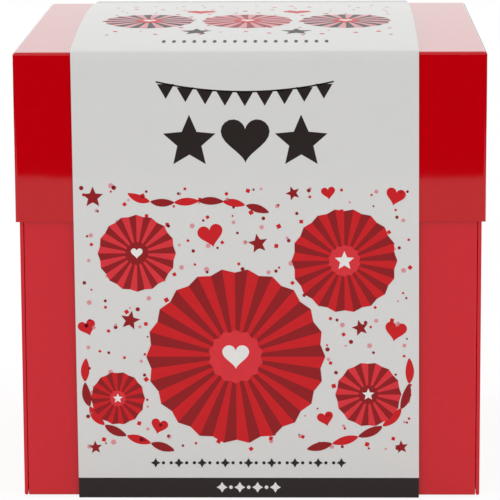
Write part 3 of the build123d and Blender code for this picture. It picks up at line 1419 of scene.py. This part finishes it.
@dataclass
class PaperFan:
    """A printed paper fan: pleats round a hub, with a small shape in the middle."""

    panel: Panel
    middle: Point2
    reach: float
    pleats: int
    lit: Ink = Ink.RED
    shaded: Ink = Ink.DEEP
    hub: Ink = Ink.BRIGHT
    heart: bool = True
    notch: float = 0.955
    eye: float = 0.24
    hub_share: float = 0.31
    hub_points: int = 14
    heart_share: float = 0.3
    star_share: float = 0.19

    def print_on(self, press: Press) -> None:
        """Print the fan, one colour after another.

        Args:
            press: the press.
        """
        inner = self.reach * self.eye
        for k in range(2 * self.pleats):
            a, b = (math.pi * (k + n) / self.pleats for n in (0, 1))
            out_a, out_b = (self.reach * (self.notch if n % 2 else 1.0) for n in (k, k + 1))
            rim = ((inner, a), (out_a, a), (out_b, b), (inner, b))
            pleat = [(r * math.cos(turn), r * math.sin(turn)) for r, turn in rim]
            ink = self.lit if k % 2 else self.shaded
            press.add(self.panel, ink, shifted(pleat, self.middle), 1)
        hub = star(self.hub_points, self.reach * self.hub_share, 0.9)
        press.add(self.panel, self.hub, shifted(hub, self.middle), 2)
        if self.heart:
            badge = heart(self.reach * self.heart_share)
        else:
            badge = star(5, self.reach * self.star_share)
        press.add(self.panel, Ink.WHITE, shifted(badge, self.middle), 3)


@dataclass
class ConfettiScatter:
    """Small flat pieces of one colour, scattered over a patch by Geometry Nodes."""

    name: str
    ink: Ink
    seed: int
    gap_mm: float
    size_mm: float
    sides: int
    depth_mm: float = 0.03
    most_per_m2: float = 90000.0
    sizes: Point2 = (0.5, 1.3)

    def tree(self) -> Tree:
        """Build the tree: a flat prism on each random point, turned and sized at random.

        Returns:
            The tree.
        """
        tree, given = open_group(f"confetti_{self.seed}", "Patch", "Gap", "Size", "Depth")
        spread = {"Mesh": given["Patch"], "Distance Min": given["Gap"], "Seed": self.seed}
        spread["Density Max"] = self.most_per_m2
        scattered = "GeometryNodeDistributePointsOnFaces"
        points = add_node(tree, scattered, spread, distribute_method="POISSON")
        form = {"Vertices": self.sides, "Radius": given["Size"], "Depth": given["Depth"]}
        flake = add_node(tree, "GeometryNodeMeshCylinder", form)
        ends = {0: (0, 0, 0), 1: (0, 0, 2 * math.pi), "Seed": self.seed + 1}
        turn = add_node(tree, "FunctionNodeRandomValue", ends, data_type="FLOAT_VECTOR")
        turned = {0: points.outputs["Rotation"], 1: turn}
        spin = add_node(tree, "FunctionNodeRotateRotation", turned, rotation_space="LOCAL")
        ends = {2: self.sizes[0], 3: self.sizes[1], "Seed": self.seed + 2}
        size = add_node(tree, "FunctionNodeRandomValue", ends, data_type="FLOAT").outputs[1]
        wide = add_node(tree, "ShaderNodeCombineXYZ", {0: size, 1: size, 2: 1.0})
        placed = {"Points": points, "Instance": flake, "Rotation": spin, "Scale": wide}
        return close_group(tree, placed, self.ink.material(self.name))

    def build(self, patch: BMesh) -> Piece:
        """Scatter the confetti over a patch of faces."""
        sizes = {"Gap": self.gap_mm * MM, "Size": self.size_mm * MM, "Depth": self.depth_mm * MM}
        return grow(new_object(self.name, patch), self.tree(), sizes)


@dataclass
class MotifRow:
    """A row of printed lozenges, dots or pennants along a curve, set out by Geometry Nodes."""

    name: str
    ink: Ink
    panel: Panel
    ends: tuple[Point2, Point2, Point2]
    count: int
    points: int
    outer_mm: float
    inner_mm: float
    turn_deg: float = 0.0
    order: int = 0
    depth_mm: float = 0.03
    weld_mm: float = 0.001
    curve_steps: int = 64

    def tree(self, form: SleeveForm) -> Tree:
        """Build the tree: a curve cut into equal steps, with one closed layer of ink at each.

        Args:
            form: the sleeve that it is printed on.

        Returns:
            The tree.
        """
        tree, given = open_group(self.name, "Base", "Outer", "Inner", "Depth")
        start, bend, end = (form.spot(self.panel, u * MM, v * MM, 0) for u, v in self.ends)
        bow = {"Resolution": self.curve_steps, "Start": start, "Middle": bend, "End": end}
        line = add_node(tree, "GeometryNodeCurveQuadraticBezier", bow)
        cut = {"Curve": line, "Count": self.count}
        points = add_node(tree, "GeometryNodeResampleCurve", cut)
        radii = {"Inner Radius": given["Inner"], "Outer Radius": given["Outer"]}
        shape = add_node(tree, "GeometryNodeCurveStar", {"Points": self.points, **radii})
        # the ink's face, its sides and its underside, closed into one solid layer
        face = add_node(tree, "GeometryNodeFillCurve", {"Curve": shape}, mode="NGONS")
        lift = {"Mesh": face, "Offset Scale": given["Depth"], "Individual": False}
        raised = add_node(tree, "GeometryNodeExtrudeMesh", lift)
        under = add_node(tree, "GeometryNodeFlipFaces", {"Mesh": face})
        both = add_node(tree, "GeometryNodeJoinGeometry", {0: raised})
        tree.links.new(under.outputs[0], both.inputs[0])
        near = {"Geometry": both, "Distance": self.weld_mm * MM}
        layer = add_node(tree, "GeometryNodeMergeByDistance", near)
        about = math.pi if self.panel is Panel.BACK else 0.0
        stood = (math.pi / 2, math.radians(-self.turn_deg), about)
        placed = {"Points": points, "Instance": layer, "Rotation": stood}
        return close_group(tree, placed, self.ink.material(self.name))

    def build(self, form: SleeveForm) -> Piece:
        """Print the row.

        Args:
            form: the sleeve that it is printed on.

        Returns:
            The row.
        """
        depth = self.depth_mm * (self.order + 1)
        sizes = {"Outer": self.outer_mm * MM, "Inner": self.inner_mm * MM, "Depth": depth * MM}
        return grow(new_object(self.name, bmesh.new()), self.tree(form), sizes)


@dataclass
class Sleeve:
    """The printed paper sleeve: the loop, its glued overlap and its generic party print."""

    form: SleeveForm
    paper: Material
    sag: float = 0.86
    stations: int = 18
    patch_steps: int = 10
    smooth_deg: float = 40.0
    string_mm: float = 0.4
    pieces: list[Piece] = field(default_factory=list)

    def loop(self) -> None:
        """Build the paper loop, closed at both cut edges."""
        outline, width = self.form.loop(), self.form.right - self.form.left
        bm = bmesh.new()
        skins = []
        for depth in (0.0, self.form.thickness):
            skin = []
            for n in range(self.stations + 1):
                x = self.form.left + width * n / self.stations
                ring = [
                    bm.verts.new((x + self.form.lean(z), y - ny * depth, z - nz * depth))
                    for y, z, ny, nz in outline
                ]
                skin.append(ring)
            skins.append(skin)
        outer, inner = skins
        for rings in (outer, inner, (outer[0], inner[0]), (outer[-1], inner[-1])):
            bridge(bm, *rings)
        bmesh.ops.recalc_face_normals(bm, faces=bm.faces)
        piece = new_object("sleeve_paper", bm, self.paper, self.smooth_deg)
        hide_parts("sleeve_band")
        self.pieces.append(piece)

    def patch(self, panel: Panel, low: Point2, high: Point2, lift: float) -> BMesh:
        """Faces over part of a panel, for the confetti to lie on.

        Args:
            panel: which panel.
            low: its lowest corner, in millimetres.
            high: its highest corner.
            lift: how far it stands off the paper, in metres.

        Returns:
            The patch, facing outwards.
        """
        bm = bmesh.new()
        us, vs = (
            [(a + (b - a) * n / self.patch_steps) * MM for n in range(self.patch_steps + 1)]
            for a, b in zip(low, high, strict=True)
        )
        grid = [[bm.verts.new(self.form.spot(panel, u, v, lift)) for v in vs] for u in us]
        for a, b in pairwise(grid):
            for j in range(self.patch_steps):
                bm.faces.new((a[j], b[j], b[j + 1], a[j + 1]))
        return bm

    def heading(self, press: Press) -> None:
        """Print the black band round the foot's fold, and the heading's string and shapes.

        Args:
            press: the press.
        """
        half = (self.form.right - self.form.left) / 2 / MM
        for panel in (Panel.FRONT, Panel.BACK):
            for low, high in pairwise((-0.1, 0.1, 0.26, 0.42, 0.6, 5.4)):
                quad = [(-half, low), (half, low), (half, high), (-half, high)]
                press.add(panel, Ink.BLACK, quad)
        sway = bezier(((-22.5, 108.6), (-8, 105.2), (8, 105.2), (22.5, 108.6)), 80)
        shapes = [band(sway, lambda t: self.string_mm)]
        shapes += [shifted(star(5, 7.0, 0.46), (x, 93.2)) for x in (-14.2, 14.2)]
        shapes.append(shifted(heart(12.4), (0, 93.6)))
        for shape in shapes:
            press.add(Panel.FRONT, Ink.BLACK, shape)

    def picture(self, press: Press) -> None:
        """Print the front's picture: paper fans, streamers, hearts and stars in several reds.

        Args:
            press: the press.
        """
        front = Panel.FRONT
        bright = {"lit": Ink.BRIGHT, "hub": Ink.DEEP}
        for fan in (
            PaperFan(front, (-3.0, 37.5), 23.0, 22),
            PaperFan(front, (25.0, 62.5), 13.5, 18, heart=False),
            PaperFan(front, (-28.0, 64.5), 10.0, 16, **bright),
            PaperFan(front, (31.0, 27.5), 8.5, 14, heart=False, **bright),
            PaperFan(front, (-33.5, 26.5), 7.0, 14, heart=False),
        ):
            fan.print_on(press)
        press.streamer(((-41.5, 37), (-44, 17), (-34, 18), (-19, 12.6)), 2.2)
        press.streamer(((41.5, 37), (43, 19), (33, 17), (15, 13.0)), 2.2)
        press.streamer(((-30, 80), (-20, 74), (-12, 82), (6, 75)), 2.0)
        hearts = ((-9, 69, 6.5, 12), (38, 79, 5.0, -14), (-41, 45, 4.6, 18), (38, 44, 5.6, -10))
        hearts += ((20, 21, 4.2, 14), (-23, 19, 4.4, -16), (21, 80, 3.6, 8))
        press.scatter(front, Ink.RED, hearts)
        stars = ((3, 67, 2.6, 10), (-39, 79, 2.8, 0), (12, 80, 1.9, 20), (29, 45, 2.2, 14))
        stars += ((-30, 47, 2.6, -12), (39.5, 13.6, 1.8, 6), (-39.5, 13.5, 1.8, 4))
        press.scatter(front, Ink.DEEP, stars)

    def top_and_back(self, press: Press) -> None:
        """Print the top's strokes, fans, hearts and stars, and the back's string, fan and hearts.

        Args:
            press: the press.
        """
        for n in range(-8, 9):
            press.add(Panel.TOP, Ink.BLACK, shifted(oval(1.0, 3.4, 10), (2.6 * n, -50.0)))
        for x, shaded in ((-26.0, Ink.BLACK), (0.0, Ink.DEEP), (26.0, Ink.BLACK)):
            inks = {"lit": Ink.ROSE, "shaded": shaded, "hub": Ink.RED}
            PaperFan(Panel.TOP, (x, -20.0), 12.0, 16, **inks).print_on(press)
        press.scatter(Panel.TOP, Ink.RED, [(x, -2.0, 7.5, 0) for x in (-13.0, 13.0)])
        press.scatter(Panel.TOP, Ink.BLACK, [(x, -37.0, 4.2, 0) for x in (-13.0, 13.0)])
        sway = bezier(((-34, 106.0), (-14, 98.0), (14, 98.0), (34, 106.0)), 120)
        press.add(Panel.BACK, Ink.BLACK, band(sway, lambda t: self.string_mm))
        PaperFan(Panel.BACK, (0.0, 56.0), 21.0, 22).print_on(press)
        press.scatter(Panel.BACK, Ink.RED, [(-30.0, 56.0, 9.0, 12), (30.0, 56.0, 9.0, -12)])

    def rows(self) -> None:
        """Print the rows of lozenges, dots and pennants on the front and back."""
        front, back, black, white = Panel.FRONT, Panel.BACK, Ink.BLACK, Ink.WHITE
        foot, gaps, dark, back_foot = (
            ((-half, v), (0.0, v), (half, v))
            for half, v in ((24.0, 9.4), (4.6, 2.9), (6.9, 2.9), (27.0, 14.0))
        )
        sway = ((-20.0, 106.75), (0.0, 102.9), (20.0, 106.75))
        back_sway = ((-31.0, 103.6), (0.0, 94.6), (31.0, 103.6))
        for name, *rest in (
            ("foot_dots", black, front, foot, 25, 6, 0.45, 0.42),
            ("foot_lozenges", black, front, foot, 9, 4, 1.25, 0.62, 0.0, 1),
            ("band_lozenges", white, front, dark, 4, 4, 1.4, 0.75, 0.0, 1),
            ("band_dots", white, front, gaps, 3, 6, 0.5, 0.46, 0.0, 1),
            ("pennants", black, front, sway, 9, 3, 2.5, 1.25, -90.0),
            ("back_pennants", Ink.RED, back, back_sway, 11, 3, 3.4, 1.7, -90.0, 1),
            ("back_lozenges", black, back, back_foot, 9, 4, 1.4, 0.7),
        ):
            self.pieces.append(MotifRow(f"print_{name}", *rest).build(self.form))

    def confetti(self) -> None:
        """Scatter the printed confetti over the front's picture and the top."""
        front = Panel.FRONT, (-42.0, 13.0), (42.0, 82.0)
        top = Panel.TOP, (-38.0, -42.0), (38.0, 18.0)
        for area, name, *rest in (
            (front, "red", Ink.RED, 11, 4.6, 0.62, 4),
            (front, "deep", Ink.DEEP, 23, 6.2, 0.5, 6),
            (front, "rose", Ink.ROSE, 37, 5.4, 0.6, 5),
            (top, "top", Ink.RED, 41, 5.0, 0.7, 4),
        ):
            scatter = ConfettiScatter(f"print_confetti_{name}", *rest)
            patch = self.patch(*area, scatter.depth_mm / 2 * MM)
            self.pieces.append(scatter.build(patch))

    def build(self) -> list[Piece]:
        """Build the sleeve with its print.

        Returns:
            Its pieces.
        """
        self.loop()
        press = Press(self.form)
        self.heading(press)
        self.picture(press)
        self.top_and_back(press)
        self.pieces += press.run()
        self.rows()
        self.confetti()
        for piece in self.pieces:
            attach(piece, "sleeve")
        flap = CardPieces().rolled_copy(
            "sleeve_glue_flap", "sleeve_overlap", "sleeve", "sleeve_print", self.paper
        )
        self.pieces.append(flap)
        for piece in self.pieces:
            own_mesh(piece)
        return self.pieces


def main() -> None:
    """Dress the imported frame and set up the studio."""
    logging.basicConfig(level=logging.INFO, format="%(message)s")
    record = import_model()["record"]
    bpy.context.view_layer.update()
    Viewpoint().build()
    Studio().build()
    finish = {slot: made.material() for slot, made in FINISHES.items()}
    slots = {part["node"]: part["material_slot"] for part in record["subparts"]}
    bodies = record["behaviour"]["bodies"].items()
    body_of = {node: body for body, nodes in bodies for node in nodes}
    pieces = [
        CardPieces().rolled_copy(node, f"{node}_piece", body_of[node], slot, finish[slot])
        for node, slot in slots.items()
        if slot.endswith("_card")
    ]
    pieces += GiftRibbons(finish["satin_ribbon"]).build()
    pieces += TieRibbons(finish["satin_ribbon"]).build()
    for pile in (
        InsertPile("insert_squares", 3, lambda side: rounded_square(side, 2.0)),
        InsertPile("insert_rounds", 8, lambda side: oval(side, side, 64)),
    ):
        slot = slots[pile.node]
        pieces.append(pile.build(finish[slot], slot))
    low, high = corners("sleeve_band")
    shoulder = corners("lid_shell")[1].z + OVER_LID
    form = SleeveForm(low.x, high.x, high.y, shoulder, high.z)
    pieces += Sleeve(form, finish["sleeve_print"]).build()
    for piece in pieces:
        log.info("dressed %s: %d faces", piece.name, len(piece.data.polygons))


if __name__ == "__main__":
    main()
